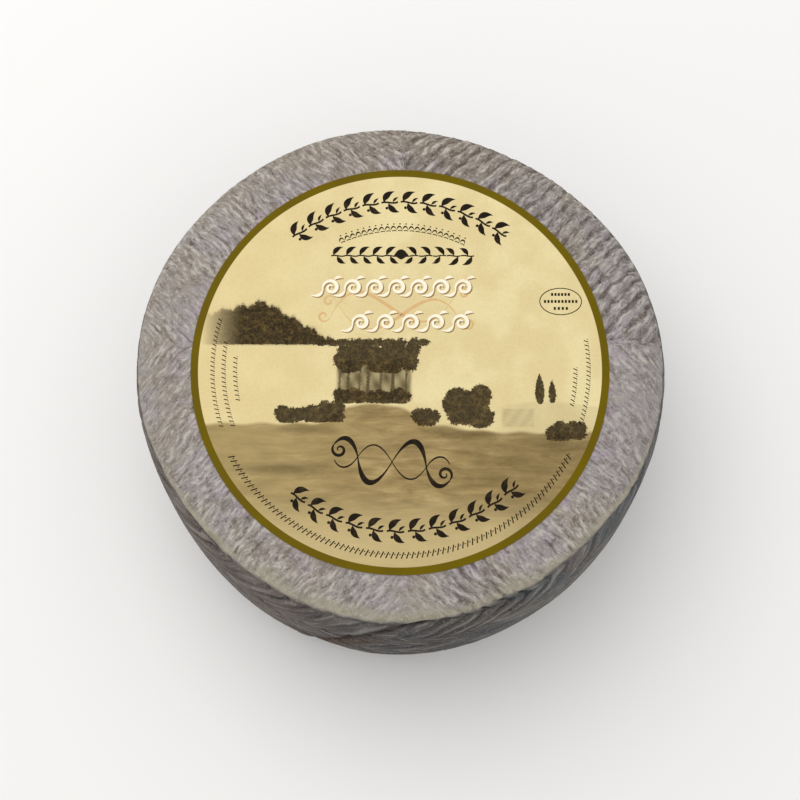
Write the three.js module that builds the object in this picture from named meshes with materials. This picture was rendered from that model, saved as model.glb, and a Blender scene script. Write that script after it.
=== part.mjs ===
// A wheel of cured cheese, pressed in a plaited mould, with a printed paper disc pasted on its top face.
// Millimetres, +Z up. The origin is the centre of the flat base, and the wheel's axis is +Z.
import * as THREE from "three";

// Driving dimensions.
const WHEEL_DIAMETER = 210; // over the widest part of the side wall
const WHEEL_HEIGHT = 94; // from the base to the top face, without the label
const WALL_BULGE = 1.2; // how far the wall swells at half height, past the ends of its roundings
const EDGE_ROUNDING = 18; // how far in from the wall, and from the face, each pressed edge turns
const EDGE_SQUARENESS = 2.4; // exponent of the edge's superellipse: 2 is a plain quarter circle
const LABEL_DIAMETER = 159;
const LABEL_THICKNESS = 0.2; // paper with its paste

// How finely the round shapes are cut into facets.
const WHEEL_SEGMENTS = 96;
const LABEL_SEGMENTS = 120;
const EDGE_STEPS = 7;
const WALL_STEPS = 6;

// Derived sizes.
const WHEEL_RADIUS = WHEEL_DIAMETER / 2;
const WALL_END_RADIUS = WHEEL_RADIUS - WALL_BULGE;
const FLAT_RADIUS = WALL_END_RADIUS - EDGE_ROUNDING;
const WALL_HEIGHT = WHEEL_HEIGHT - 2 * EDGE_ROUNDING;

// The upper or lower rounded edge: a quarter of a superellipse, which turns a little tighter than a circle.
// Step 0 is at the wall and the last step is at the flat face.
function edgePoint(step, centreHeight, side) {
  const angle = (Math.PI / 2) * (step / EDGE_STEPS);
  const power = 2 / EDGE_SQUARENESS;
  return new THREE.Vector2(
    FLAT_RADIUS + EDGE_ROUNDING * Math.cos(angle) ** power,
    centreHeight + side * EDGE_ROUNDING * Math.sin(angle) ** power,
  );
}

// The wall between the roundings: a shallow parabola that is widest at half height.
function wallPoint(step) {
  const fromMiddle = (2 * step) / WALL_STEPS - 1;
  return new THREE.Vector2(
    WHEEL_RADIUS - WALL_BULGE * fromMiddle ** 2,
    WHEEL_HEIGHT / 2 + (fromMiddle * WALL_HEIGHT) / 2,
  );
}

// Half of the wheel's section, from the middle of the base, out, up and back to the middle of the top.
function wheelProfile() {
  const profile = [new THREE.Vector2(0, 0)];
  for (let step = EDGE_STEPS; step > 0; step--) {
    profile.push(edgePoint(step, EDGE_ROUNDING, -1));
  }
  for (let step = 0; step <= WALL_STEPS; step++) {
    profile.push(wallPoint(step));
  }
  for (let step = 1; step <= EDGE_STEPS; step++) {
    profile.push(edgePoint(step, WHEEL_HEIGHT - EDGE_ROUNDING, 1));
  }
  profile.push(new THREE.Vector2(0, WHEEL_HEIGHT));
  return profile;
}

// Turns a section about the wheel's axis, which LatheGeometry takes as Y and this part as Z.
function turned(profile, segments) {
  return new THREE.LatheGeometry(profile, segments).rotateX(Math.PI / 2);
}

// The cheese and its rind are one body: the rind is the dried and moulded skin of the paste itself.
function cheeseWheel() {
  const rind = new THREE.MeshStandardMaterial({ color: 0x968f88, roughness: 0.85, metalness: 0 });
  const wheel = new THREE.Mesh(turned(wheelProfile(), WHEEL_SEGMENTS), rind);
  wheel.name = "cheese_wheel";
  return wheel;
}

// The label: a thin paper disc that lies face to face on the flat of the top.
function paperLabel() {
  const radius = LABEL_DIAMETER / 2;
  const section = [
    new THREE.Vector2(0, WHEEL_HEIGHT),
    new THREE.Vector2(radius, WHEEL_HEIGHT),
    new THREE.Vector2(radius, WHEEL_HEIGHT + LABEL_THICKNESS),
    new THREE.Vector2(0, WHEEL_HEIGHT + LABEL_THICKNESS),
  ];
  const printedPaper = new THREE.MeshStandardMaterial({ color: 0xd6c291, roughness: 0.45, metalness: 0 });
  const label = new THREE.Mesh(turned(section, LABEL_SEGMENTS), printedPaper);
  label.name = "paper_label";
  return label;
}

const part = new THREE.Group();
part.add(cheeseWheel(), paperLabel());

export default part;
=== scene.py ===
from functools import partial
from math import cos, pi, radians, sin

import bpy
import numpy as np
from mathutils import Matrix, Vector


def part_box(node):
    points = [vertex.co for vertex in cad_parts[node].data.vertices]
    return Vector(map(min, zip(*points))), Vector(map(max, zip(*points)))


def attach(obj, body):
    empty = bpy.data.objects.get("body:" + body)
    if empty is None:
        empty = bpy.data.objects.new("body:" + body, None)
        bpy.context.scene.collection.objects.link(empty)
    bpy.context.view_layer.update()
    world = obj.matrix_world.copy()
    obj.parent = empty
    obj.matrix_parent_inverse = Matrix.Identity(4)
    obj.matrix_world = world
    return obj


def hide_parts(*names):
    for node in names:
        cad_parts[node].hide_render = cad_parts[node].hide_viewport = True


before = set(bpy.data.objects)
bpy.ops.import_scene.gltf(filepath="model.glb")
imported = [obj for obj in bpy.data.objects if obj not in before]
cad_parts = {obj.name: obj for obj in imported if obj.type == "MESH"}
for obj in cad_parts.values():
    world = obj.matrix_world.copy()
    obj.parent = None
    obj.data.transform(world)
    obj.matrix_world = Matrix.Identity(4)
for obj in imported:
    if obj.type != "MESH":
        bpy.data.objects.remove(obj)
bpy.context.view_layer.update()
MM = 0.001

# ---------------------------------------------------------------------------------------------------------
# Camera, floor and light. The camera stands in front of the wheel and looks steeply down on it. The floor is
# a plain white card, and the light is a wide soft sheet high at the back left in an even white room.
wheel_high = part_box("cheese_wheel")[1]
LOOK_DOWN = radians(76.3)
CAMERA_DISTANCE = 669 * MM
camera_aim = Vector((0, -1.6 * MM, wheel_high.z / 2))

scene = bpy.context.scene
into_scene = scene.collection.objects.link
camera_data = bpy.data.cameras.new("camera")
camera_data.sensor_width = 36
camera_data.lens = 73.9
camera = bpy.data.objects.new("camera", camera_data)
camera.location = camera_aim + Vector((0, -cos(LOOK_DOWN), sin(LOOK_DOWN))) * CAMERA_DISTANCE
camera.rotation_euler = (pi / 2 - LOOK_DOWN, 0, 0)
into_scene(camera)
scene.camera = camera
scene.view_settings.view_transform = "Standard"


def linear(hex_colour):
    """An sRGB hex colour as the linear RGBA that a shader socket takes."""
    channels = [int(hex_colour[i : i + 2], 16) / 255 for i in (1, 3, 5)]
    return [c / 12.92 if c <= 0.04045 else ((c + 0.055) / 1.055) ** 2.4 for c in channels] + [1.0]


def add(tree, kind, *inputs, **settings):
    """Adds a node of a kind, which may bring a setting of its own, then fills or links its live inputs: in
    order, or by name from a dict. A node given as an input stands for its first live output."""
    settings = {**kind, **settings} if isinstance(kind, dict) else {"type": kind, **settings}
    node = tree.nodes.new(settings.pop("type"))
    for name, value in settings.items():
        setattr(node, name, value)
    live = [socket for socket in node.inputs if socket.enabled]
    pairs = zip(live, inputs)
    if inputs and isinstance(inputs[0], dict):
        named = {socket.name: socket for socket in reversed(live)}
        pairs = [(named[name], value) for name, value in inputs[0].items()]
    for socket, value in pairs:
        if isinstance(value, bpy.types.Node):
            value = next(output for output in value.outputs if output.enabled)
        if isinstance(value, bpy.types.NodeSocket):
            tree.links.new(value, socket)
        else:
            socket.default_value = value
    return node


def new_material(name):
    """An empty material, its node tree and its Principled shader, already joined to the output."""
    material = bpy.data.materials.new(name)
    material.use_nodes = True
    tree = material.node_tree
    tree.nodes.clear()
    shader = add(tree, "ShaderNodeBsdfPrincipled")
    add(tree, "ShaderNodeOutputMaterial", shader)
    return material, tree, shader


world = bpy.data.worlds.new("white room")
world.use_nodes = True
background = world.node_tree.nodes["Background"].inputs
background["Color"].default_value = linear("#FFFFFF")
background["Strength"].default_value = 0.76
scene.world = world

softbox_data = bpy.data.lights.new("softbox", "AREA")
softbox_data.shape = "DISK"
softbox_data.size = 1.2
softbox_data.energy = 5.6
softbox = bpy.data.objects.new("softbox", softbox_data)
softbox.location = (-0.35, 0.40, 1.15)
softbox.rotation_euler = (camera_aim - softbox.location).to_track_quat("-Z", "Y").to_euler()
into_scene(softbox)

card, _, card_shader = new_material("matte white card")
card_shader.inputs["Base Color"].default_value = linear("#F8F7F5")
card_shader.inputs["Roughness"].default_value = 0.95
card_shader.inputs["Specular IOR Level"].default_value = 0.2
FLOOR_HALF = 3.0
floor_corners = [(x * FLOOR_HALF, y * FLOOR_HALF, 0) for x, y in ((-1, -1), (1, -1), (1, 1), (-1, 1))]
floor_mesh = bpy.data.meshes.new("floor")
floor_mesh.from_pydata(floor_corners, [], [(0, 1, 2, 3)])
floor_mesh.materials.append(card)
floor = bpy.data.objects.new("floor", floor_mesh)
into_scene(floor)

# ---------------------------------------------------------------------------------------------------------
# The cheese wheel: one body of cured cheese with its own dry rind. It was pressed in a hoop of plaited grass
# between two grooved boards, which left rows of slanting strands round the wall and four fields of straight
# grooves on each face. The blank is turned here from its section, and Geometry Nodes press the marks into it.
wheel_radius = wheel_high.x
wheel_height = wheel_high.z
label_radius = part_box("paper_label")[1].x
TURNS = 560  # facets round the wheel, about 1.2 mm each at the wall
WALL_BULGE = 1.2 * MM
EDGE_ROUNDING = 18 * MM
EDGE_SQUARENESS = 2.4
EDGE_POINTS = 90
WALL_POINTS = 60
PAPER_ROOM = 0.15 * MM  # the face lies this far under its nominal height, to leave the label its place
DIAGONAL = 0.7071  # the share of a step along x or y that goes across a diagonal
# The hoop wasn't quite round: each lobe is (waves round the wheel, height in mm, direction of a crest).
HOOP_LOBES = ((2, 0.65, -27), (3, 0.8, 22), (4, 0.4, 0), (5, 0.35, 25))

# The kinds of node that the trees below use most, some with the setting that makes them what they are.
SPLIT = "ShaderNodeSeparateXYZ"
ATTRIBUTE = "ShaderNodeAttribute"
MAPPING = "ShaderNodeMapping"
BUMP = "ShaderNodeBump"
VECTOR = "ShaderNodeVectorMath"
VECTOR_TIMES = {"type": VECTOR, "operation": "MULTIPLY"}
RANGE = "ShaderNodeMapRange"
EASE = {"type": RANGE, "interpolation_type": "SMOOTHSTEP"}
NOISE = "ShaderNodeTexNoise"
NOISE_4D = {"type": NOISE, "noise_dimensions": "4D"}
MIX = "ShaderNodeMix"
BLEND = {"type": MIX, "data_type": "RGBA"}
MATHS = "ShaderNodeMath"
PLUS, MINUS, TIMES, TIMES_PLUS, OVER, POWER, EXPONENT, COSINE, SIZE, MOST, LEAST = (
    {"type": MATHS, "operation": operation}
    for operation in (
        "ADD SUBTRACT MULTIPLY MULTIPLY_ADD DIVIDE POWER EXPONENT COSINE ABSOLUTE MAXIMUM MINIMUM".split()
    )
)


def section_line():
    """The wheel's half section as a fine polyline of (radius, height), top centre to base centre."""
    flat_radius = wheel_radius - WALL_BULGE - EDGE_ROUNDING
    power = 2 / EDGE_SQUARENESS
    quarter = np.linspace(pi / 2, 0, EDGE_POINTS)
    top_face = wheel_height - PAPER_ROOM
    edge_r = flat_radius + EDGE_ROUNDING * np.cos(quarter) ** power
    edge_drop = EDGE_ROUNDING * (1 - np.sin(quarter) ** power)
    climb = np.linspace(1, -1, WALL_POINTS)[1:-1]
    wall_r = wheel_radius - WALL_BULGE * climb**2
    wall_z = wheel_height / 2 + climb * (wheel_height / 2 - EDGE_ROUNDING)
    r = np.concatenate([[0], edge_r, wall_r, edge_r[::-1], [0]])
    z = np.concatenate([[top_face], top_face - edge_drop, wall_z, edge_drop[::-1], [0]])
    return r, z


def section_rows(r, z):
    """The same section as rows, spaced finely where the relief shows and coarsely under the label."""
    along = np.concatenate([[0], np.cumsum(np.hypot(np.diff(r), np.diff(z)))])
    whole = along[-1]
    flat = r[1]
    edge = along[EDGE_POINTS] - along[1]
    stops = [(label_radius - 3 * MM, 15 * MM), (flat, 0.95 * MM), (flat + edge, 0.74 * MM)]
    stops += [(whole - flat - edge, 1.02 * MM), (whole - flat, 0.96 * MM), (whole, 2.8 * MM)]
    marks = [0.0]
    for stop, spacing in stops:
        count = max(1, round((stop - marks[-1]) / spacing))
        marks += list(np.linspace(marks[-1], stop, count + 1)[1:])
    return np.interp(marks, along, r), np.interp(marks, along, z)


def turned_blank():
    """The smooth wheel: the section turned about +Z, a little out of round, as one closed mesh."""
    r, z = section_rows(*section_line())
    turn = np.arange(TURNS) * 2 * pi / TURNS
    lobes = sum(height * MM * np.cos(waves * (turn - radians(crest))) for waves, height, crest in HOOP_LOBES)
    out_of_round = 1 + (lobes - lobes.max()) / wheel_radius
    rows = len(r) - 2
    ring_r = r[1:-1, None] * out_of_round[None, :]
    ring_z = np.repeat(z[1:-1], TURNS)
    rings = np.stack([(ring_r * np.cos(turn)).ravel(), (ring_r * np.sin(turn)).ravel(), ring_z], 1)
    points = np.concatenate([rings, [[0, 0, z[0]], [0, 0, z[-1]]]])
    here = np.arange(TURNS)
    following = (here + 1) % TURNS
    faces = []
    for row in range(rows - 1):
        upper = row * TURNS
        lower = upper + TURNS
        faces += np.stack([upper + here, lower + here, lower + following, upper + following], 1).tolist()
    top_pole = rows * TURNS
    base_pole = top_pole + 1
    last = top_pole - TURNS
    faces += [(top_pole, a, b) for a, b in zip(here.tolist(), following.tolist())]
    faces += [(base_pole, last + b, last + a) for a, b in zip(here.tolist(), following.tolist())]
    mesh = bpy.data.meshes.new("cheese_wheel_rind")
    mesh.from_pydata(points.tolist(), [], faces)
    mesh.polygons.foreach_set("use_smooth", [True] * len(mesh.polygons))
    return mesh


def press_marks():
    """The Geometry Nodes tree that presses the boards' and the plait's marks into a smooth wheel."""
    tree = bpy.data.node_groups.new("Press marks", "GeometryNodeTree")
    put = partial(add, tree)
    face = tree.interface
    face.new_socket("Geometry", in_out="INPUT", socket_type="NodeSocketGeometry")
    kinds = {tuple: "NodeSocketVector", float: "NodeSocketFloat", int: "NodeSocketInt"}
    sizes = {
        "Board cross": (1.6 * MM, 9.3 * MM, 0),  # where the fields of grooves meet, from the wheel's axis
        "Groove pitch": 4.2 * MM,
        "Bold pitch": 5.1 * MM,  # in the back right field
        "Groove depth": 0.50 * MM,
        "Bold depth": 1.1 * MM,
        "Strands": 72,  # round the wheel
        "Row height": 15.0 * MM,
        "Lean": 15.5,  # how far a strand turns from one row's edge to the next, in radians of its wave
        "Strand depth": 1.4 * MM,
        "Seam depth": 1.9 * MM,
        "Lap step": 0.8 * MM,
        "Lip height": 0.40 * MM,
        "Hoop bite": 0.60 * MM,
    }
    for name, size in sizes.items():
        socket = face.new_socket(name, in_out="INPUT", socket_type=kinds[type(size)])
        socket.default_value = size
    face.new_socket("Material", in_out="INPUT", socket_type="NodeSocketMaterial")
    face.new_socket("Geometry", in_out="OUTPUT", socket_type="NodeSocketGeometry")
    given = put("NodeGroupInput").outputs
    place = put("GeometryNodeInputPosition").outputs[0]
    normal = put("GeometryNodeInputNormal").outputs[0]
    at = put(SPLIT, place).outputs
    up = put(SIZE, put(SPLIT, normal).outputs["Z"])
    level = put(VECTOR_TIMES, place, (1, 1, 0))
    radius = put(VECTOR, level, operation="LENGTH")

    # The rim, where the board's face ends and the hoop's wall begins. It runs further in at the front, where
    # the surface still slopes little, than it does at the back, so that the dark wall colour reaches over the
    # front edge as painted shade.
    frontward = put(OVER, at["Y"], -wheel_radius)
    front = put(EASE, frontward, 0.05, 0.80)
    waver = put(NOISE_4D, {"Vector": place, "W": 21.0, "Scale": 1 / (12 * MM)})
    waver = put(RANGE, waver, 0.3, 0.7, -0.035, 0.035)
    rim_and_shade_slope = put(MIX, front, 0.44, 0.82)
    rim_and_shade_slope = put(PLUS, rim_and_shade_slope, waver)
    past_rim = put(MINUS, rim_and_shade_slope, up)
    on_wall = put(EASE, past_rim, -0.02, 0.07)
    on_face = put(MINUS, 1.0, on_wall)

    # The boards: |x| and |y| from the cross where they meet give each field its own diagonal run of grooves.
    wobble = put(NOISE_4D, {"Vector": place, "W": 3.0, "Scale": 1 / (9 * MM)})
    wobble = put(VECTOR, wobble.outputs["Color"], (0.5, 0.5, 0.5), operation="SUBTRACT")
    wobble = put(VECTOR, wobble, (4 * MM, 4 * MM, 0), given["Board cross"], operation="MULTIPLY_ADD")
    from_cross = put(VECTOR, place, wobble, operation="SUBTRACT")
    cross = put(SPLIT, from_cross).outputs
    away_x = put(SIZE, cross["X"])
    away_y = put(SIZE, cross["Y"])
    along = put(TIMES, put(PLUS, away_x, away_y), DIAGONAL)
    across = put(TIMES, put(MINUS, away_x, away_y), DIAGONAL)
    drift = put(NOISE_4D, {"Vector": place, "Scale": 1 / (22 * MM)})
    drift = put(RANGE, drift, 0.0, 1.0, -2.4 * MM, 2.4 * MM)
    across = put(PLUS, across, drift)
    bold = put(LEAST, cross["X"], cross["Y"])
    bold = put(EASE, bold, -1.5 * MM, 1.5 * MM)
    pitch = put(MIX, bold, given["Groove pitch"], given["Bold pitch"])
    groove = put(TIMES, put(OVER, across, pitch), 2 * pi)
    groove = put(COSINE, groove)
    groove = put(EASE, groove, -0.6, 1.0)
    # Curd stuck to the board here and there, so a groove comes out as a row of dashes.
    dash_place = put(TIMES, across, 2.6)
    field = put(TIMES, bold, 30 * MM)
    dash_place = put("ShaderNodeCombineXYZ", along, dash_place, field)
    dashes = put(NOISE_4D, {"Vector": dash_place, "W": 2.0, "Scale": 1 / (8 * MM), "Detail": 2.0})
    fine_dashes = put(EASE, dashes, 0.44, 0.64)
    bold_dashes = put(EASE, dashes, 0.30, 0.58, 0.45, 1.0)
    wear = put(NOISE_4D, {"Vector": place, "W": 5.0, "Scale": 1 / (30 * MM)})
    worn = put(EASE, wear, 0.36, 0.60, 0.25, 1.0)
    # Near the front the fields' meeting line is rubbed flat, and a patch to its right kept deep grooves.
    rubbed = put(VECTOR, place, (2 * MM, -wheel_radius, wheel_height), operation="SUBTRACT")
    rubbed = put(VECTOR, put(VECTOR_TIMES, rubbed, (1.9, 0.7, 0.3)), operation="LENGTH")
    rubbed = put(EASE, rubbed, 26 * MM, 12 * MM, 0.0, 0.8)
    worn = put(TIMES, put(MINUS, 1.0, rubbed), worn)
    fine_dashes = put(TIMES, fine_dashes, worn)
    kept_deep = put(VECTOR, place, (31 * MM, -85 * MM, wheel_height), operation="DISTANCE")
    kept_deep = put(EASE, kept_deep, 19 * MM, 9 * MM, 0.0, 0.9)
    deep = put(MOST, bold, kept_deep)
    dashes = put(MIX, deep, fine_dashes, bold_dashes)
    worn = put(MOST, worn, deep)
    board = put(TIMES, put(TIMES, groove, dashes), on_face)
    board_depth = put(MIX, deep, given["Groove depth"], given["Bold depth"])

    # The plait: level rows of slanting strands that lean one way in one row and the other way in the next.
    turn = put(MATHS, at["Y"], at["X"], operation="ARCTAN2")
    sway = put(NOISE_4D, {"Vector": place, "W": 7.0, "Scale": 1 / (22 * MM)})
    sway = put(RANGE, sway, 0.0, 1.0, -4 * MM, 4 * MM)
    # The distance down from the rim, measured round the edge.
    run = put(TIMES, put(MINUS, radius, wheel_radius), 0.6)
    run = put(MINUS, put(MINUS, at["Z"], wheel_height), run)
    run = put(PLUS, run, sway)
    fold = put(MATHS, put(OVER, run, given["Row height"]), 1.0, operation="PINGPONG")
    crumple = put(NOISE_4D, {"Vector": place, "W": 8.0, "Scale": 1 / (9 * MM)})
    crumple = put(RANGE, crumple, 0.0, 1.0, -2.4, 2.4)
    lean = put(TIMES_PLUS, fold, given["Lean"], crumple)
    phase = put(TIMES_PLUS, turn, given["Strands"], lean)
    strand = put(COSINE, phase)
    strand = put(EASE, strand, 0.15, 1.0)
    # Between rows the strands tuck under one another and leave a nick.
    tuck = put(SIZE, put(MINUS, fold, 0.5))
    tuck = put(EASE, tuck, 0.42, 0.5, 0.0, 0.6)
    strand = put(MOST, strand, tuck)
    stretched = put(VECTOR_TIMES, place, (0.32, 0.32, 1.0))
    uneven = put(NOISE_4D, {"Vector": stretched, "W": 9.0, "Scale": 1 / (9 * MM), "Detail": 2.0})
    uneven = put(EASE, uneven, 0.36, 0.58, 0.30, 1.0)
    plait = put(TIMES, strand, uneven)
    plait = put(TIMES, plait, on_wall)
    wear = put(EASE, wear, 0.58, 0.40, 0.60, 1.0)
    plait = put(TIMES, plait, wear)
    # A frame that follows each strand, for its grain: round the wheel across the strand, slow along it.
    follow = put(OVER, phase, given["Strands"])
    follow_x = put(TIMES, put(COSINE, follow), wheel_radius)
    follow_y = put(TIMES, put(MATHS, follow, operation="SINE"), wheel_radius)
    follow_z = put(TIMES, run, 0.22)
    wall_grain = put("ShaderNodeCombineXYZ", follow_x, follow_y, follow_z)

    # The seam: where the plait's end lapped over itself, a slanting furrow runs down the wall.
    # It creeps along the rounded edge, then falls more and more steeply.
    slant = put(RANGE, at["Z"], 0.955 * wheel_height, 0.0)
    slant = put(POWER, slant, 0.45)
    slant = put(RANGE, slant, 0.0, 1.0, radians(-86), radians(-114))
    off_seam = put(TIMES, put(MINUS, turn, slant), wheel_radius)
    off_seam = put(TIMES_PLUS, sway, 0.2, off_seam)
    off_seam = put(TIMES_PLUS, crumple, 0.5 * MM, off_seam)
    seam_half = put(RANGE, uneven, 0.3, 1.0, 2.7 * MM, 4.2 * MM)
    narrows = put(RANGE, at["Z"], 0.60 * wheel_height, 0.25 * wheel_height, 1.0, 0.4)
    seam_half = put(TIMES, seam_half, narrows)
    furrow = put(OVER, off_seam, seam_half)
    furrow = put(TIMES, put(POWER, furrow, 2.0), -1.0)
    furrow = put(TIMES, put(EXPONENT, furrow), on_wall)
    lap = put(EASE, off_seam, -0.8 * MM, 0.8 * MM)
    lap_end = put(EASE, off_seam, 34 * MM, 3 * MM)
    lap = put(TIMES, put(TIMES, lap, lap_end), on_wall)
    # Whey ran down beside the seam and dried as a brown stain.
    stain = put(EASE, off_seam, -10 * MM, -1 * MM)
    stain_end = put(EASE, off_seam, 19 * MM, 3 * MM)
    stain_low = put(EASE, at["Z"], wheel_height - 16 * MM, wheel_height - 32 * MM)
    stain = put(TIMES, put(TIMES, stain, stain_end), stain_low)

    # The lip: curd that squeezed up between the hoop and the board and dried as a thin worn bead.
    lip = put(OVER, put(PLUS, past_rim, 0.045), 0.075)
    lip = put(TIMES, put(POWER, lip, 2.0), -1.0)
    lip = put(EXPONENT, lip)
    lip_left = put(NOISE_4D, {"Vector": place, "W": 11.0, "Scale": 1 / (12 * MM), "Detail": 2.0})
    lip_left = put(EASE, lip_left, 0.32, 0.62, 0.20, 1.0)
    lip_left = put(TIMES, lip_left, on_face)
    lip = put(TIMES, lip, lip_left)
    lip_where = put(RANGE, front, 0.0, 0.5, 0.25, 1.0)
    top_half = put(MATHS, at["Z"], wheel_height / 2, operation="GREATER_THAN")
    lip_where = put(TIMES, lip_where, top_half)
    lip = put(TIMES, lip, lip_where)

    # Small holes left by whey, and the slow swell and hollow of a cheese that dried unevenly.
    cells = put("ShaderNodeTexVoronoi", {"Vector": place, "Scale": 1 / (7 * MM)})
    pit = put(EASE, cells.outputs["Distance"], 0.16, 0.06)
    some = put(RANGE, put(SPLIT, cells.outputs["Color"]), 0.80, 0.84)
    pit = put(TIMES, pit, some)
    swell = put(NOISE_4D, {"Vector": place, "W": 13.0, "Scale": 1 / (28 * MM)})
    swell = put(RANGE, swell, 0.2, 0.8, 0.0, 0.7 * MM)
    clear = put(EASE, radius, label_radius, label_radius + 6 * MM)
    low_half = put(RANGE, at["Z"], wheel_height * 0.6, wheel_height * 0.5)
    off_base = put(RANGE, at["Z"], 0.0, 3 * MM)
    clear = put(MOST, clear, put(LEAST, low_half, off_base))

    depth = put(TIMES, board, board_depth)
    depth = put(TIMES_PLUS, plait, given["Strand depth"], depth)
    depth = put(TIMES_PLUS, furrow, given["Seam depth"], depth)
    depth = put(TIMES_PLUS, lap, given["Lap step"], depth)
    depth = put(TIMES_PLUS, pit, 0.5 * MM, depth)
    bite = put(TIMES, on_wall, put(RANGE, front, 0.0, 1.0, 0.3, 1.0))
    depth = put(TIMES_PLUS, bite, given["Hoop bite"], depth)
    depth = put(TIMES_PLUS, swell, clear, depth)
    raised = put(TIMES, lip, given["Lip height"])
    depth = put(MINUS, depth, raised)
    under_label = put(EASE, radius, label_radius - 2 * MM, label_radius)
    under_label = put(MOST, under_label, low_half)
    depth = put(TIMES, depth, under_label)
    inwards = put(VECTOR, normal, put(TIMES, depth, -1.0), operation="SCALE")

    shown = put(TIMES, board, put(RANGE, deep, 0.0, 1.0, 0.9, 1.0))
    hollow = put(MOST, shown, put(MOST, plait, pit))
    face_grain = put("ShaderNodeCombineXYZ", along, across, field)
    grain = put(MIX, on_wall, face_grain, wall_grain, data_type="VECTOR")
    marks = (
        ("hollow", "FLOAT", hollow),
        ("on_wall", "FLOAT", on_wall),
        ("seam", "FLOAT", furrow),
        ("stain", "FLOAT", stain),
        ("worn", "FLOAT", worn),
        ("lip", "FLOAT", lip),
        ("grain", "FLOAT_VECTOR", grain),
    )
    shape = given["Geometry"]
    for name, kind, value in marks:
        shape = {"Geometry": shape, "Name": name, "Value": value}
        shape = put("GeometryNodeStoreNamedAttribute", shape, data_type=kind, domain="POINT")
    shape = put("GeometryNodeSetPosition", {"Geometry": shape, "Offset": inwards})
    shape = put("GeometryNodeRealizeInstances", shape)
    shape = put("GeometryNodeSetMaterial", {"Geometry": shape, "Material": given["Material"]})
    put("NodeGroupOutput", shape)
    return tree


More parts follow.
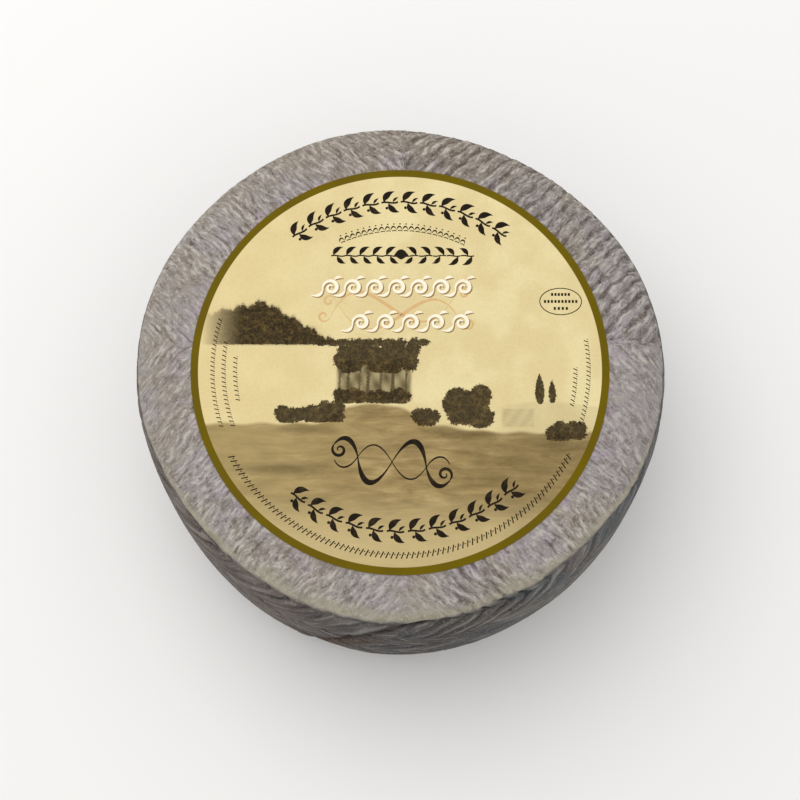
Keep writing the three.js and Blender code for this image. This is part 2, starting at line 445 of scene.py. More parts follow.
def cured_rind():
    """Cured rind, board-pressed, brushed and dry: chalky grey on its high parts, dark mould and painted shade
    in hollows.
    """
    material, tree, shader = new_material("cured cheese rind, pressed and brushed")
    put = partial(add, tree)
    where = put("ShaderNodeTexCoord").outputs["Object"]
    hollow, on_wall, seam, stain, worn, lip = (
        put(ATTRIBUTE, attribute_name=name).outputs["Fac"]
        for name in ("hollow", "on_wall", "seam", "stain", "worn", "lip")
    )
    grain = put(ATTRIBUTE, attribute_name="grain").outputs["Vector"]
    side = put(SPLIT, where).outputs

    # Bloom on the faces: warm grey and lilac grey in patches about 25 mm across, browner towards the back.
    patches = put(NOISE, {"Vector": where, "Scale": 1 / (25 * MM), "Detail": 3.0})
    patches = put(EASE, patches, 0.40, 0.60)
    bloom = put(BLEND, patches, linear("#958C82"), linear("#979090"))
    backward = put(EASE, side["Y"], 45 * MM, 100 * MM, 0.0, 0.75)
    bloom = put(BLEND, backward, bloom, linear("#8D8173"))
    # A pink and violet flush of about 6 mm round the paper, where the rind stayed damp.
    ring = put(VECTOR, put(VECTOR_TIMES, where, (1, 1, 0)), operation="LENGTH")
    damp = put(EASE, ring, label_radius + 13 * MM, label_radius, 0.0, 1.0)
    flush = put(NOISE, {"Vector": where, "Scale": 1 / (6 * MM), "Detail": 2.0})
    flush = put(EASE, flush, 0.48, 0.68, 0.0, 0.6)
    flush = put(TIMES, flush, damp)
    bloom = put(BLEND, flush, bloom, linear("#A291A0"))
    # Chalk brushed along the grooves in light and dark strokes about 1.5 mm by 5 mm.
    strokes = put(MAPPING, {"Vector": grain, "Scale": (1.0, 3.4, 1.0)}, vector_type="POINT")
    strokes = put(NOISE, {"Vector": strokes, "Scale": 1 / (5 * MM), "Detail": 4.0, "Roughness": 0.62})
    clear = put(RANGE, worn, 0.1, 0.9, 0.50, 0.95)
    light = put(EASE, strokes, 0.50, 0.63, 0.0, 0.95)
    light = put(TIMES, light, clear)
    bloom = put(BLEND, light, bloom, linear("#BEB7AE"))
    dull = put(EASE, strokes, 0.47, 0.35, 0.0, 0.95)
    dull = put(TIMES, dull, clear)
    bloom = put(BLEND, dull, bloom, linear("#695F57"))
    blots = put(NOISE, {"Vector": where, "Scale": 1 / (5 * MM), "Detail": 3.0, "Roughness": 0.6})
    blots = put(EASE, blots, 0.52, 0.66, 0.0, 0.62)
    bloom = put(BLEND, blots, bloom, linear("#756C64"))
    # Buttery grey-green where the face turns down to the rim, partly a painted highlight along the rim.
    rim_band_and_highlight = put(EASE, lip, 0.02, 0.40, 0.0, 0.65)
    bloom = put(BLEND, rim_band_and_highlight, bloom, linear("#9F9985"))
    # Mould on the wall: brown at one side of the wheel, slate at the other, in pale and dark strands.
    cool = put(EASE, side["X"], -45 * MM, 35 * MM)
    wall = put(BLEND, cool, linear("#6A615B"), linear("#5F5D5B"))
    earthy = put(NOISE, {"Vector": where, "Scale": 1 / (21 * MM), "Detail": 2.0})
    earthy = put(EASE, earthy, 0.44, 0.66, 0.0, 0.5)
    wall = put(BLEND, earthy, wall, linear("#71675F"))
    slaty = put(EASE, earthy, 0.30, 0.05, 0.0, 0.35)
    slaty = put(TIMES, slaty, cool)
    wall = put(BLEND, slaty, wall, linear("#596064"))
    # Painted shade: the wall is darkened at the front, which the light from the back reaches less.
    painted_front_shade = put(EASE, side["Y"], -84 * MM, -104 * MM, 0.0, 0.65)
    wall = put(BLEND, painted_front_shade, wall, linear("#3B3939"))
    strands = put(NOISE, {"Vector": grain, "Scale": 1 / (3.0 * MM), "Detail": 3.0, "Roughness": 0.5})
    # Pale strands, kept to the proud crests, where their pale colour is also a painted highlight.
    pale_strands_and_highlight = put(EASE, strands, 0.50, 0.64, 0.0, 0.52)
    proud = put(EASE, hollow, 0.30, 0.0, 0.25, 1.0)
    pale_strands_and_highlight = put(TIMES, pale_strands_and_highlight, proud)
    wall = put(BLEND, pale_strands_and_highlight, wall, linear("#948F8A"))
    dim = put(EASE, strands, 0.48, 0.35, 0.0, 0.60)
    wall = put(BLEND, dim, wall, linear("#39373A"))
    # The wall's colour starts where on_wall rises, which is higher up the rounded edge at the front, where it
    # is painted shade.
    colour = put(BLEND, on_wall, bloom, wall)
    # Dark mould stays in the hollows, brown on the faces and nearly black on the wall, and this darkening is
    # also painted shade in the hollows.
    mould = put(BLEND, on_wall, linear("#564B43"), linear("#201E21"))
    hollow_mould_and_shade = put(EASE, hollow, 0.25, 0.90, 0.0, 0.85)
    hollow_mould_and_shade = put(TIMES, hollow_mould_and_shade, put(RANGE, strokes, 0.66, 0.40, 0.30, 1.0))
    colour = put(BLEND, hollow_mould_and_shade, colour, mould)
    # Pinholes of 1 mm, in crowds, and slate dashes along the grooves.
    holes = put("ShaderNodeTexVoronoi", {"Vector": where, "Scale": 1 / (3.2 * MM)})
    hole = put(EASE, holes.outputs["Distance"], 0.25, 0.10)
    crowd = put(NOISE, {"Vector": where, "Scale": 1 / (12 * MM)})
    crowd = put(EASE, crowd, 0.54, 0.66, 0.0, 0.6)
    hole = put(TIMES, hole, crowd)
    specks = put(MAPPING, {"Vector": grain, "Scale": (1.0, 2.2, 1.0)}, vector_type="POINT")
    specks = put(NOISE, {"Vector": specks, "Scale": 1 / (2.2 * MM), "Detail": 2.0, "Roughness": 0.5})
    speck = put(EASE, specks, 0.64, 0.76, 0.0, 0.55)
    hole = put(MOST, hole, speck)
    colour = put(BLEND, hole, colour, linear("#57504D"))
    # The lip is bare buttery curd, mottled with mould, and its pale colour is also a painted highlight along
    # the rim. Whey left a brown stain beside the dark seam, which pale strands bridge here and there.
    lip = put(EASE, lip, 0.30, 0.95, 0.0, 0.65)
    colour = put(BLEND, lip, colour, linear("#A9A190"))
    mottle = put(NOISE, {"Vector": where, "Scale": 1 / (6 * MM), "Detail": 3.0})
    mottle = put(EASE, mottle, 0.45, 0.62, 0.0, 0.9)
    mottle = put(TIMES, mottle, lip)
    colour = put(BLEND, mottle, colour, linear("#7D7861"))
    patchy = put(NOISE, {"Vector": where, "Scale": 1 / (7 * MM), "Detail": 3.0})
    patchy = put(EASE, patchy, 0.40, 0.60, 0.35, 0.9)
    stain = put(TIMES, stain, patchy)
    colour = put(BLEND, stain, colour, linear("#47301F"))
    seam = put(EASE, seam, 0.12, 0.62, 0.0, 0.96)
    bridged = put(EASE, strands, 0.66, 0.42, 0.55, 1.0)
    seam = put(TIMES, seam, bridged)
    colour = put(BLEND, seam, colour, linear("#2A1B14"))
    # Grains of dry bloom about 1 mm across.
    tooth = put(NOISE, {"Vector": where, "Scale": 1 / (1.1 * MM), "Detail": 3.0, "Roughness": 0.65})
    grains = put(EASE, tooth, 0.52, 0.72, 0.0, 0.50)
    fewer = put(TIMES, grains, put(RANGE, on_wall, 0.0, 1.0, 1.0, 0.4))
    fewer = put(TIMES, fewer, put(RANGE, seam, 0.0, 0.5, 1.0, 0.1))
    colour = put(BLEND, fewer, colour, linear("#C6C0BA"))
    tree.links.new(colour.outputs[2], shader.inputs["Base Color"])
    rough = put(RANGE, tooth, 0.3, 0.7, 0.76, 0.92)
    tree.links.new(rough.outputs[0], shader.inputs["Roughness"])
    shader.inputs["IOR"].default_value = 1.45
    shader.inputs["Specular IOR Level"].default_value = 0.35

    # Relief finer than the mesh: brushed strokes, strands on the wall, the tooth of the bloom and pinholes.
    fibre = put(MIX, on_wall, strokes, strands)
    bump = put(BUMP, {"Strength": 0.8, "Distance": 0.40 * MM, "Height": fibre})
    bump = put(BUMP, {"Strength": 0.8, "Distance": 0.28 * MM, "Height": tooth, "Normal": bump})
    bump = put(BUMP, {"Strength": 1.0, "Distance": 0.5 * MM, "Height": hole, "Normal": bump}, invert=True)
    tree.links.new(bump.outputs[0], shader.inputs["Normal"])
    return material


def plain_mesh(obj, name):
    """The evaluated object as a plain mesh object with no modifier, which takes its place."""
    graph = bpy.context.evaluated_depsgraph_get()
    evaluated = obj.evaluated_get(graph)
    mesh = bpy.data.meshes.new_from_object(evaluated, preserve_all_data_layers=True, depsgraph=graph)
    bpy.data.objects.remove(obj)
    mesh.name = name
    made = bpy.data.objects.new(name, mesh)
    into_scene(made)
    return made


def give(modifier, **values):
    """Sets a Geometry Nodes modifier's inputs by their names in the tree, through their identifiers."""
    for item in modifier.node_group.interface.items_tree:
        key = item.name.replace(" ", "_").lower()
        if item.in_out == "INPUT" and key in values:
            modifier[item.identifier] = values[key]


blank = bpy.data.objects.new("cheese_wheel_blank", turned_blank())
into_scene(blank)
press = blank.modifiers.new("press", "NODES")
press.node_group = press_marks()
give(press, material=cured_rind())
rind = plain_mesh(blank, "cheese_wheel_rind")
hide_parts("cheese_wheel")
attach(rind, "root")

# ---------------------------------------------------------------------------------------------------------
# The paper label: a disc of thin coated paper glued to the middle of the top face. It is printed with a
# country view in sepia, and with garlands, scrollwork, a flourish and a plain stamp in dark and pale inks.
label_low, label_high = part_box("paper_label")
PAPER_CELLS = 264  # cells across the disc, 0.6 mm each, fine enough to carry the printed view
PAPER_TOP = label_high.z - 0.08 * MM
PAPER_BASE = label_low.z - 0.04 * MM
COCKLE = 0.03 * MM  # how far the damp paper rises and falls
INK = 0.012 * MM  # drawn about ten times thicker than real ink, so that it lies clear of the cockled paper
BORDER_INNER = 76.6 * MM


def landscape(x, y):
    """The printed view at a point in mm from the label's centre: how much foliage is there and how faint it
    is, how deep the plain tone is, and whether the point is on the ground (1) or in the sky (0)."""
    chance = np.random.default_rng(7)
    leafy = np.zeros_like(x)
    # Each mass of leaves is a union of discs: (left, right, level, spread, smallest and largest disc, count
    # of discs, foot), in mm. They are a copse's flat top, its crowns and its scrub, a hedge in two parts, a
    # bush, a thicket in two parts, and scrub at the right.
    masses = (
        (-32.0, 12.5, 9.4, 0.6, 0.8, 1.5, 90, 7.6),
        (-24.0, 5.0, 3.4, 4.6, 1.5, 3.2, 80, -3.0),
        (-24.0, 4.5, -12.2, 1.6, 1.2, 2.6, 60, -14.8),
        (-46.0, -30.0, -18.8, 1.4, 1.6, 2.9, 44, -22.4),
        (-29.0, -23.0, -17.4, 2.2, 1.8, 3.2, 30, -22.2),
        (7.0, 13.5, -20.0, 1.2, 1.8, 3.0, 20, -23.6),
        (19.5, 31.0, -15.6, 4.6, 2.2, 4.4, 60, -24.6),
        (30.0, 34.0, -20.0, 1.6, 1.4, 2.4, 16, -24.6),
        (57.0, 68.5, -25.4, 1.4, 1.6, 3.0, 26, -29.5),
    )
    for left, right, level, spread, smallest, largest, discs, foot in masses:
        gap = np.full_like(x, np.inf)
        for across, above, size in chance.random((discs, 3)):
            centre_x = left + across * (right - left)
            centre_y = level + (2 * above - 1) * spread
            disc = smallest + size * (largest - smallest)
            gap = np.minimum(gap, np.hypot(x - centre_x, y - centre_y) - disc)
        leafy = np.maximum(leafy, np.clip(0.5 - gap / 2.2, 0, 1) * np.clip((y - foot) / 0.6, 0, 1))
    # The wooded hill falls from left to right and fades into haze at its left end.
    crest = 27.0 - 0.60 * np.maximum(x + 52.0, 0) - 0.22 * np.maximum(-52.0 - x, 0)
    crest += 0.7 * np.sin(x * 0.9) + 0.4 * np.sin(x * 2.3 + 1.0)
    hill = np.clip((crest - y) / 2.6, 0, 1) * np.clip(y - 8.2, 0, 1) * np.clip((-20.0 - x) / 2.0, 0, 1)
    haze = np.clip((x + 76.0) / 16.0, 0, 1)
    leafy = np.maximum(leafy, hill)
    faint = (1 - haze) * (y > 7)
    # Two far cypresses, each a tapering flame: (middle, foot, top, half width).
    for middle, foot, top, half in ((52.9, -14.6, -2.4, 2.0), (57.6, -14.4, -5.0, 1.6)):
        climb = np.clip((y - foot) / (top - foot), 0, 1)
        flame = 2.2 * half * np.sqrt(climb + 0.04) * (1 - climb) ** 0.8
        leafy = np.maximum(leafy, np.clip((flame - np.abs(x - middle)) / 0.9 + 0.3, 0, 1) * (y > foot))
    # Plain tone: the copse's shade and its trunks, a low far rise and a dry-stone wall.
    shade = np.clip((14.6 - np.abs(x + 9.8)) / 1.2, 0, 1) * np.clip((8.5 - np.abs(y + 5.5)) / 2, 0, 1)
    shade *= 0.8 + 0.2 * np.sin(x * 0.9) * np.sin(y * 0.7 + x * 0.3)
    tone = np.maximum(0.92 * shade, 0.85 * hill * haze)
    trunks = ((-22.6, 0.5), (-19.4, 0.7), (-15.0, 0.5), (-11.8, 0.8), (-7.0, 0.6), (-2.4, 0.8), (2.6, 0.5))
    for trunk, half in trunks:
        bole = np.clip((half - np.abs(x - trunk - 0.05 * y)) / 0.5 + 0.5, 0, 1) * (np.abs(y + 6) < 8)
        tone = np.maximum(tone, 0.95 * bole)
    rise = -14.6 + 1.2 * np.cos((x - 54.0) / 9.0)
    tone = np.maximum(tone, 0.13 * np.clip((rise - y) / 0.8, 0, 1) * np.clip((x - 36.0) / 9.0, 0, 1))
    wall = np.clip((6.4 - np.abs(x - 44.5)) / 0.7, 0, 1) * np.clip((4.0 - np.abs(y + 20.0)) / 0.7, 0, 1)
    courses = 0.75 + 0.25 * np.cos(y * 2.6) * np.cos(x * 1.3 + np.round(y / 1.2) * 2.0)
    tone = np.maximum(tone, 0.34 * wall * courses)
    # The ground begins at a field edge that dips where a pale track runs up between the trees.
    edge = -21.6 - 3.6 / (1 + np.exp(-(x - 22) / 6)) + 7.4 * np.exp(-(((x + 10) / 16) ** 4))
    edge += 0.35 * np.sin(x * 0.45)
    ground = np.clip((edge - y) / 1.2, 0, 1)
    # Soft shadows on the ground: (centre x, centre y, half length, half depth, depth of tone), in mm.
    shadows = (
        (-44, -39.5, 15, 2.6, 0.50),
        (-36, -24.5, 14, 1.4, 0.40),
        (26, -26.5, 14, 1.6, 0.50),
        (60, -30.5, 11, 2.0, 0.45),
        (-12, -18, 14, 2.0, 0.22),
        (8, -31, 26, 2.4, 0.16),
        (44, -40, 20, 5.0, 0.24),
        (-28, -50, 20, 3.0, 0.16),
        (34, -55, 18, 3.0, 0.16),
    )
    for centre_x, centre_y, long, deep, depth in shadows:
        reach = ((x - centre_x) / long) ** 2 + ((y - centre_y) / deep) ** 2
        tone = np.maximum(tone, depth * np.exp(-reach) * ground)
    return leafy, faint, tone, ground


def paper_disc():
    """The paper as one closed sheet: a square grid bent into a disc, an edge and a plain underside."""
    span = np.linspace(-1, 1, PAPER_CELLS + 1)
    u, v = np.meshgrid(span, span, indexing="ij")
    wide = np.abs(u) > np.abs(v)
    reach = np.where(wide, u, v)
    ratio = np.divide(np.where(wide, v, u), reach, out=np.zeros_like(u), where=reach != 0)
    angle = np.where(wide, ratio * pi / 4, pi / 2 - ratio * pi / 4)
    x = reach * np.cos(angle) * label_radius
    y = reach * np.sin(angle) * label_radius
    points = np.stack([x, y, np.full_like(x, PAPER_TOP)], -1).reshape(-1, 3)
    size = PAPER_CELLS + 1
    number = np.arange(size * size).reshape(size, size)
    faces = np.stack([number[:-1, :-1], number[1:, :-1], number[1:, 1:], number[:-1, 1:]], -1)
    faces = faces.reshape(-1, 4).tolist()
    rim = list(number[:-1, 0]) + list(number[-1, :-1]) + list(number[:0:-1, -1]) + list(number[0, :0:-1])
    under = len(points) + np.arange(len(rim))
    underside = points[rim].copy()
    underside[:, 2] = PAPER_BASE
    points = np.concatenate([points, underside, [[0, 0, PAPER_BASE]]])
    centre = len(points) - 1
    for i, (top, low) in enumerate(zip(rim, under)):
        following = (i + 1) % len(rim)
        faces.append((int(top), int(low), int(under[following]), int(rim[following])))
        faces.append((int(low), centre, int(under[following])))
    mesh = bpy.data.meshes.new("printed_paper_label")
    mesh.from_pydata(points.tolist(), [], faces)
    view = landscape(points[:, 0] / MM, points[:, 1] / MM)
    for name, values in zip(("leafy", "faint", "tone", "ground"), view):
        mesh.attributes.new(name, "FLOAT", "POINT").data.foreach_set("value", values)
    return mesh


def inked(name, strokes):
    """An object of thin closed ribbons. A stroke is a centre line in mm and its width in mm at each point."""
    points = []
    faces = []
    for line, width in strokes:
        line = np.asarray(line, float)
        heading = np.gradient(line, axis=0)
        heading /= np.linalg.norm(heading, axis=1)[:, None]
        half = np.broadcast_to(np.maximum(width, 0.06), len(line))[:, None] / 2
        side = np.stack([-heading[:, 1], heading[:, 0]], 1) * half
        for left, right in zip((line + side) * MM, (line - side) * MM):
            points += [(*left, INK), (*right, INK), (*right, 0), (*left, 0)]
        first = len(points) - 4 * len(line)
        for a in range(first, len(points) - 4, 4):
            b = a + 4
            faces += [(a + 1, b + 1, b, a), (a + 3, b + 3, b + 2, a + 2)]
            faces += [(a + 2, b + 2, b + 1, a + 1), (b + 3, a + 3, a, b)]
        last = len(points) - 4
        faces += [(first + 3, first + 2, first + 1, first), (last, last + 1, last + 2, last + 3)]
    mesh = bpy.data.meshes.new(name)
    mesh.from_pydata(points, [], faces)
    made = bpy.data.objects.new(name, mesh)
    into_scene(made)
    return made


def spiral(centre, radii, degrees, count=16):
    """Points on an arc whose radius runs from one value to another, centre and radii in mm."""
    turn = np.radians(np.linspace(*degrees, count))
    reach = np.linspace(*radii, count)
    return np.stack([centre[0] + reach * np.cos(turn), centre[1] + reach * np.sin(turn)], 1)


def bow(a, b, c, d, count=14):
    """Points on a Bezier curve through four control points in mm."""
    t = np.linspace(0, 1, count)[:, None]
    a, b, c, d = (np.asarray(p, float) for p in (a, b, c, d))
    return (1 - t) ** 3 * a + 3 * (1 - t) ** 2 * t * b + 3 * (1 - t) * t**2 * c + t**3 * d


def swell(widest, count=14, peak=0.45, thinnest=0.1):
    """A pen's widths along a stroke: thin at both ends and widest near the peak."""
    t = np.linspace(0, 1, count)
    return thinnest + (widest - thinnest) * np.sin(pi * t ** (np.log(0.5) / np.log(peak))) ** 1.3


def row_tree():
    """The Geometry Nodes tree that repeats a motif at even steps along a path of edges."""
    tree = bpy.data.node_groups.new("Row of motifs", "GeometryNodeTree")
    put = partial(add, tree)
    face = tree.interface
    face.new_socket("Geometry", in_out="INPUT", socket_type="NodeSocketGeometry")
    face.new_socket("Motif", in_out="INPUT", socket_type="NodeSocketObject")
    face.new_socket("Count", in_out="INPUT", socket_type="NodeSocketInt").default_value = 10
    face.new_socket("Ink", in_out="INPUT", socket_type="NodeSocketMaterial")
    face.new_socket("Geometry", in_out="OUTPUT", socket_type="NodeSocketGeometry")
    given = put("NodeGroupInput").outputs
    path = put("GeometryNodeMeshToCurve", {"Mesh": given["Geometry"]})
    path = put("GeometryNodeResampleCurve", {"Curve": path, "Count": given["Count"]})
    heading = put("GeometryNodeInputTangent")
    heading = put("FunctionNodeAlignEulerToVector", {"Vector": heading}, axis="X")
    motif = put("GeometryNodeObjectInfo", {"Object": given["Motif"]}).outputs["Geometry"]
    shape = {"Points": path, "Instance": motif, "Rotation": heading}
    shape = put("GeometryNodeInstanceOnPoints", shape)
    shape = put("GeometryNodeRealizeInstances", shape)
    shape = put("GeometryNodeSetMaterial", {"Geometry": shape, "Material": given["Ink"]})
    put("NodeGroupOutput", shape)
    return tree


def printed_paper():
    """Coated paper, offset-printed in sepia: cream sky, tan ground, dappled dark masses, an olive border."""
    material, tree, shader = new_material("coated paper, offset printed")
    put = partial(add, tree)
    where = put("ShaderNodeTexCoord").outputs["Object"]
    leafy, faint, tone, ground = (
        put(ATTRIBUTE, attribute_name=name).outputs["Fac"]
        for name in ("leafy", "faint", "tone", "ground")
    )
    side = put(SPLIT, where).outputs
    # Sky: yellow cream, deeper at the left, with faint clouds of ink about 20 mm across.
    clouds = put(NOISE, {"Vector": where, "Scale": 1 / (16 * MM), "Detail": 3.0})
    clouds = put(EASE, clouds, 0.38, 0.66)
    sky = put(BLEND, clouds, linear("#E0CD98"), linear("#E9D9A5"))
    leftward = put(EASE, side["X"], 10 * MM, -70 * MM, 0.0, 0.5)
    sky = put(BLEND, leftward, sky, linear("#E2CC94"))
    # Ground: tan, in level streaks about 14 mm by 2 mm, cut by finer ones of 5 mm by 0.6 mm.
    lying = put(MAPPING, {"Vector": where, "Scale": (0.16, 1.0, 0.0)}, vector_type="POINT")
    streaks = {"Vector": lying, "Scale": 1 / (2.6 * MM), "Detail": 5.0, "Roughness": 0.62, "Distortion": 0.6}
    streaks = put(NOISE, streaks)
    uneven = put(MAPPING, {"Vector": where, "Scale": (0.4, 1.0, 0.0)}, vector_type="POINT")
    uneven = {"Vector": uneven, "Scale": 1 / (7 * MM), "Detail": 5.0, "Roughness": 0.6, "Distortion": 0.8}
    streaks = put(MIX, 0.5, streaks, put(NOISE, uneven))
    earth = put("ShaderNodeValToRGB", streaks)
    stops = ((0.34, "#77653F"), (0.45, "#927C51"), (0.56, "#A78F60"), (0.68, "#C2AC79"))
    while len(earth.color_ramp.elements) < len(stops):
        earth.color_ramp.elements.new(0.5)
    for element, (position, hex_colour) in zip(earth.color_ramp.elements, stops):
        element.position = position
        element.color = linear(hex_colour)
    # Clods and tufts of about 1.2 mm, and the lighter margin that the printer left round the view.
    clods = put(NOISE, {"Vector": lying, "Scale": 1 / (0.7 * MM), "Detail": 3.0, "Roughness": 0.6})
    clods = put(EASE, clods, 0.56, 0.70, 0.0, 0.30)
    earth = put(BLEND, clods, earth, linear("#6F5F3D"))
    ring = put(VECTOR, put(VECTOR_TIMES, where, (1, 1, 0)), operation="LENGTH")
    earth = put(BLEND, leftward, earth, linear("#B5A06D"))
    rightward = put(EASE, side["X"], 0.0, 55 * MM, 0.0, 0.30)
    earth = put(BLEND, rightward, earth, linear("#7A6741"))
    margin = put(EASE, side["Y"], -44 * MM, -70 * MM, 0.0, 0.75)
    earth = put(BLEND, margin, earth, linear("#CFBB88"))
    print_colour = put(BLEND, ground, sky, earth)
    # Tone and foliage in brown-black, the foliage ragged at its edge and dappled at about 1.9 mm.
    dapple = put(NOISE, {"Vector": where, "Scale": 1 / (1.9 * MM), "Detail": 4.0, "Roughness": 0.68})
    sepia = put(EASE, dapple, 0.44, 0.76)
    sepia = put(BLEND, sepia, linear("#2B2110"), linear("#66522D"))
    print_colour = put(BLEND, tone, print_colour, linear("#45381F"))
    leaves = {"Vector": where, "Scale": 1 / (1.0 * MM), "Detail": 3.0, "Roughness": 0.65}
    leaves = put(RANGE, put(NOISE, leaves), 0.3, 0.7, -0.30, 0.30)
    ragged = put(PLUS, leafy, leaves)
    ragged = put(EASE, ragged, 0.36, 0.62, 0.0, 0.97)
    ragged = put(TIMES, ragged, put(MINUS, 1.0, faint))
    print_colour = put(BLEND, ragged, print_colour, sepia)
    # The grain of the screen and of age, about 0.5 mm, over everything but the border.
    age = put(NOISE, {"Vector": where, "Scale": 1 / (0.8 * MM), "Detail": 2.0})
    age = put(EASE, age, 0.35, 0.70, 0.0, 0.10)
    print_colour = put(BLEND, age, print_colour, linear("#A8925F"))
    border = put(RANGE, ring, BORDER_INNER, BORDER_INNER + 0.15 * MM)
    olive = put(BLEND, clouds, linear("#675604"), linear("#6D5C02"))
    print_colour = put(BLEND, border, print_colour, olive)
    tree.links.new(print_colour.outputs[2], shader.inputs["Base Color"])
    gloss = put(RANGE, clouds, 0.0, 1.0, 0.48, 0.58)
    tree.links.new(gloss.outputs[0], shader.inputs["Roughness"])
    shader.inputs["IOR"].default_value = 1.48
    shader.inputs["Specular IOR Level"].default_value = 0.06
    fibres = {"Vector": where, "Scale": 1 / (0.9 * MM), "Detail": 3.0}
    bump = {"Strength": 0.25, "Distance": 0.03 * MM, "Height": put(NOISE, fibres)}
    tree.links.new(put(BUMP, bump).outputs[0], shader.inputs["Normal"])
    return material


def printing_ink(name, hex_colour, other_colour):
    """Offset ink on coated paper: even, a little glossier than the sheet, thinner where the plate is worn."""
    material, tree, shader = new_material(name)
    put = partial(add, tree)
    where = put("ShaderNodeTexCoord").outputs["Object"]
    wear = put(NOISE, {"Vector": where, "Scale": 1 / (3 * MM), "Detail": 4.0, "Roughness": 0.7})
    wear = put(EASE, wear, 0.45, 0.75)
    colour = put(BLEND, wear, linear(hex_colour), linear(other_colour))
    tree.links.new(colour.outputs[2], shader.inputs["Base Color"])
    tree.links.new(put(RANGE, wear, 0.0, 1.0, 0.42, 0.55).outputs[0], shader.inputs["Roughness"])
    shader.inputs["IOR"].default_value = 1.5
    shader.inputs["Specular IOR Level"].default_value = 0.06
    return material


dark_ink = printing_ink("black-brown ink, offset printed", "#1B140B", "#3A2D1A")
pale_ink = printing_ink("cream ink, offset printed", "#FBF3DC", "#F3E4C0")
shade_ink = printing_ink("brown ink, offset printed", "#94744A", "#A98A5C")
rose_ink = printing_ink("thin ochre ink, offset printed", "#D8B27C", "#DDBE88")
motif_row = row_tree()
prints = []


def print_row(motif, line, count, ink, lift=0.0):
    """Repeats a motif along a line of points in mm, printed on the paper."""
    path = bpy.data.meshes.new("path")
    points = [(x * MM, y * MM, PAPER_TOP + lift) for x, y in line]
    path.from_pydata(points, [(i, i + 1) for i in range(len(points) - 1)], [])
    row = bpy.data.objects.new("row", path)
    into_scene(row)
    repeat = row.modifiers.new("row", "NODES")
    repeat.node_group = motif_row
    give(repeat, motif=motif, count=count, ink=ink)
    prints.append(plain_mesh(row, "printed_row"))


def print_round(motif, radius, degrees, count, points=40):
    """Repeats a motif in dark ink along an arc about the label's centre, its radius in mm."""
    print_row(motif, spiral((0, 0), (radius, radius), degrees, points), count, dark_ink)


def print_once(strokes, ink, lift=0.0, shift=(0.0, 0.0)):
    """Prints strokes that aren't repeated, moved by a shift in mm."""
    strokes = [(np.asarray(line) + np.asarray(shift), width) for line, width in strokes]
    made = inked("printed_strokes", strokes)
    made.data.transform(Matrix.Translation((0, 0, PAPER_TOP + lift)))
    made.data.materials.append(ink)
    prints.append(made)


# The motifs, drawn along +X with +Y to the left of the path. A sprig has a stem, a leaf on each side, a bud
# and a berry. The others are a bead with dashes, a slanting dash with a dot, a bar and a running scroll.
sprig = inked(
    "sprig",
    [
        (bow((-3.2, 0.2), (-1.2, 1.0), (1.2, -0.9), (3.3, 0.2), 9), 0.75),
        (bow((-2.2, 0.4), (-1.9, 2.6), (-0.4, 4.2), (2.2, 4.6), 10), swell(2.5, 10)),
        (bow((-0.4, -0.1), (0.0, -2.2), (1.4, -3.7), (3.6, -4.0), 10), swell(2.3, 10)),
        (bow((1.3, 0.2), (1.7, 1.2), (2.5, 1.9), (3.6, 2.1), 7), swell(1.0, 7)),
        (spiral((-1.2, -2.1), (0.32, 0.32), (0, 360), 8), 0.6),
    ],
)
small_sprig = inked(
    "small_sprig",
    [
        (bow((-2.6, 0.0), (-1.0, 0.7), (1.0, -0.6), (2.6, 0.0), 7), 0.55),
        (bow((-1.7, 0.2), (-1.4, 2.1), (0.0, 3.4), (2.0, 3.6), 9), swell(1.9, 9)),
        (bow((-0.2, -0.1), (0.2, -1.8), (1.4, -2.8), (3.0, -3.0), 9), swell(1.8, 9)),
    ],
)
bead = inked(
    "bead",
    [
        (bow((-1.1, -0.8), (-0.6, 1.1), (0.5, 1.1), (1.0, -0.7), 6), swell(0.7, 6)),
        (bow((-0.6, -1.2), (0.0, -0.9), (0.6, -0.9), (1.1, -1.3), 4), 0.36),
        (bow((-0.1, 1.6), (0.1, 1.7), (0.4, 1.7), (0.5, 1.6), 3), 0.45),
    ],
)
slant = inked("slant", [([(-0.35, -0.8), (0.35, 0.8)], 0.38), ([(0.55, -0.6), (0.85, -0.6)], 0.38)])
wide_slant = inked("wide_slant", [([(-0.5, -1.2), (0.5, 1.2)], 0.46), ([(0.8, 0.1), (1.1, 0.5)], 0.42)])
bar = inked("bar", [([(-0.42, 0.0), (0.42, 0.0)], 1.15)])
SCROLL = [
    (spiral((0.0, 0.0), (2.7, 0.5), (200, -320), 26), swell(1.15, 26, 0.35, 0.35)),
    (bow((-2.6, -0.9), (-3.2, -2.6), (-4.4, -3.0), (-6.2, -2.5), 10), swell(1.0, 10, 0.4, 0.3)),
    (bow((1.0, 2.6), (1.8, 3.6), (2.9, 3.7), (3.6, 3.1), 8), swell(1.0, 8)),
]
SCROLL_SCALE = 1.22
scroll = inked("scroll", [(line * SCROLL_SCALE, width * SCROLL_SCALE) for line, width in SCROLL])

# The garlands: one over the top with a string of beads under it, one along the bottom, a small one between.
print_round(sprig, 66.0, (126, 54.5), 12, 60)
print_round(bead, 55.6, (114, 64), 22, 60)
print_round(sprig, 63.4, (233, 311), 12, 60)
print_row(small_sprig, [(-24.0, 44.2), (-3.5, 44.2)], 5, dark_ink)
print_row(small_sprig, [(26.0, 44.2), (4.5, 44.2)], 5, dark_ink)
print_once([(bow((-2.4, 44.2), (-0.6, 45.0), (1.4, 45.0), (3.4, 44.2), 8), swell(4.2, 8, 0.5))], dark_ink)
# Fine borders and columns of small marks.
print_round(wide_slant, 72.2, (209, 331), 82, 120)
print_round(slant, 71.2, (199, 165), 26)
print_round(slant, 67.0, (200, 172), 20)
print_round(slant, 62.6, (192, 177), 10)
print_round(slant, 71.6, (-18, 8), 20)
print_round(slant, 66.6, (-13, -1), 9)
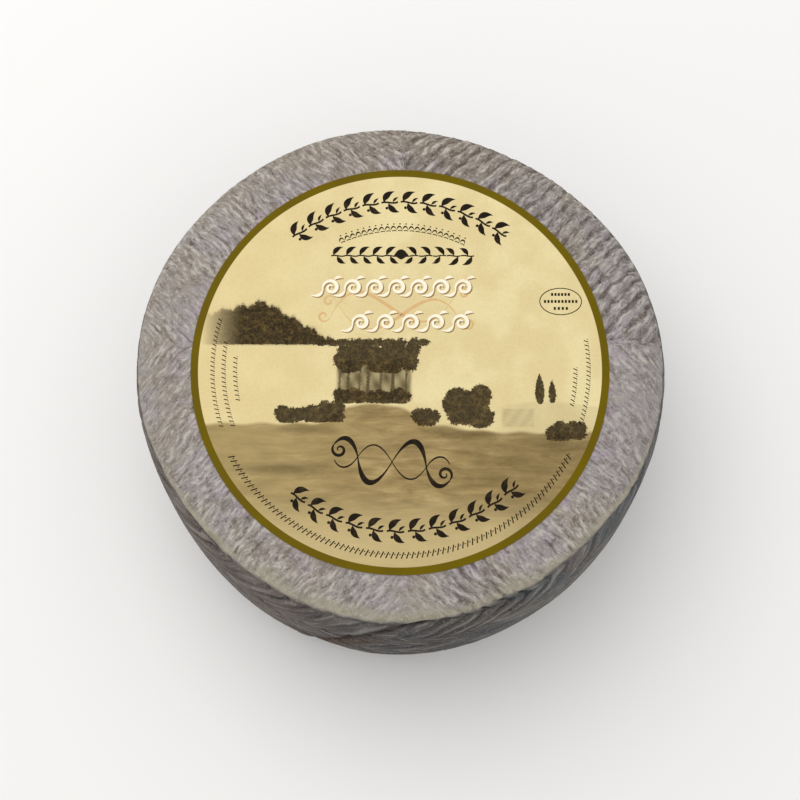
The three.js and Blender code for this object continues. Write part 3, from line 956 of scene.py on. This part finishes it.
# The stamp, left empty but for three rows of plain bars.
OVAL = np.array([8.0, 5.3])
print_once([(spiral((0, 0), (1, 1), (0, 360), 48) * OVAL + (61.6, 25.8), 0.36)], dark_ink)
print_row(bar, [(58.4, 28.6), (64.8, 28.6)], 6, dark_ink)
print_row(bar, [(55.6, 25.8), (67.6, 25.8)], 10, dark_ink)
print_row(bar, [(59.3, 23.0), (63.9, 23.0)], 4, dark_ink)
# Pale scrollwork over brown shade, in two rows, with thin ochre tendrils behind.
SHADE_STEP = np.array([0.45, -0.4])
for left, right, level, count in ((-26.5, 24.5, 31.4, 7), (-15.0, 23.5, 17.4, 5)):
    row = np.array([(left, level), (right, level)])
    print_row(scroll, row + SHADE_STEP, count, shade_ink, INK)
    print_row(scroll, row, count, pale_ink, 2 * INK)
tendril = [
    (bow((-27.0, 19.0), (-12.0, 52.0), (4.0, -6.0), (22.0, 30.0), 40), swell(1.3, 40)),
    (spiral((-29.2, 20.0), (2.4, 0.5), (-25, -420), 26), swell(0.9, 26, 0.4, 0.3)),
    (spiral((24.2, 29.0), (2.4, 0.5), (155, -240), 26), swell(0.9, 26, 0.4, 0.3)),
]
print_once(tendril, rose_ink)
print_once([(line * (-1, 1), width) for line, width in tendril], rose_ink, 0.0, (-3.0, -3.0))
# The pen flourish: two waves that cross three times, one thick and one fine, with a curl at each end.
FLOURISH_PLACE = np.array([-3.0, -37.0])
FLOURISH_LEAN = radians(-9)
lean = np.array([[cos(FLOURISH_LEAN), sin(FLOURISH_LEAN)], [-sin(FLOURISH_LEAN), cos(FLOURISH_LEAN)]])
half = [
    (bow((0.0, 0.0), (4.5, 11.5), (9.5, 12.5), (13.0, 0.0), 22), swell(2.2, 22, 0.6, 0.4)),
    (bow((0.0, 0.0), (5.5, -7.0), (9.5, -7.5), (13.0, 0.0), 22), swell(0.6, 22, 0.5, 0.3)),
    (bow((13.0, 0.0), (15.5, -6.5), (19.5, -8.5), (22.5, -3.5), 18), swell(1.9, 18, 0.5, 0.5)),
    (bow((13.0, 0.0), (15.0, 5.0), (19.0, 6.5), (21.5, 2.5), 16), swell(0.7, 16, 0.5, 0.35)),
    (spiral((20.2, -1.6), (2.9, 0.5), (-38, 410), 26), swell(1.2, 26, 0.3, 0.35)),
]
flourish = half + [(line * (-1, -1), width) for line, width in half]
print_once([(line @ lean, width) for line, width in flourish], dark_ink, 0.0, FLOURISH_PLACE)

for motif in (sprig, small_sprig, bead, slant, wide_slant, bar, scroll):
    bpy.data.objects.remove(motif)
label = bpy.data.objects.new("printed_paper_label", paper_disc())
label.data.materials.append(printed_paper())
into_scene(label)
with bpy.context.temp_override(active_object=label, selected_editable_objects=[label, *prints]):
    bpy.ops.object.join()
# The paper cockled as the rind dried under it, and its print with it.
spots = np.empty(len(label.data.vertices) * 3)
label.data.vertices.foreach_get("co", spots)
spots = spots.reshape(-1, 3)
wave = np.sin(spots[:, 0] / (11 * MM) + 1.7 * np.sin(spots[:, 1] / (17 * MM)))
wave *= np.sin(spots[:, 1] / (13 * MM) + 1.3 * np.sin(spots[:, 0] / (19 * MM)))
spots[:, 2] += COCKLE * wave * (spots[:, 2] > PAPER_TOP - 0.05 * MM)
label.data.vertices.foreach_set("co", spots.ravel())
label.data.update()
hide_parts("paper_label")
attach(label, "root")
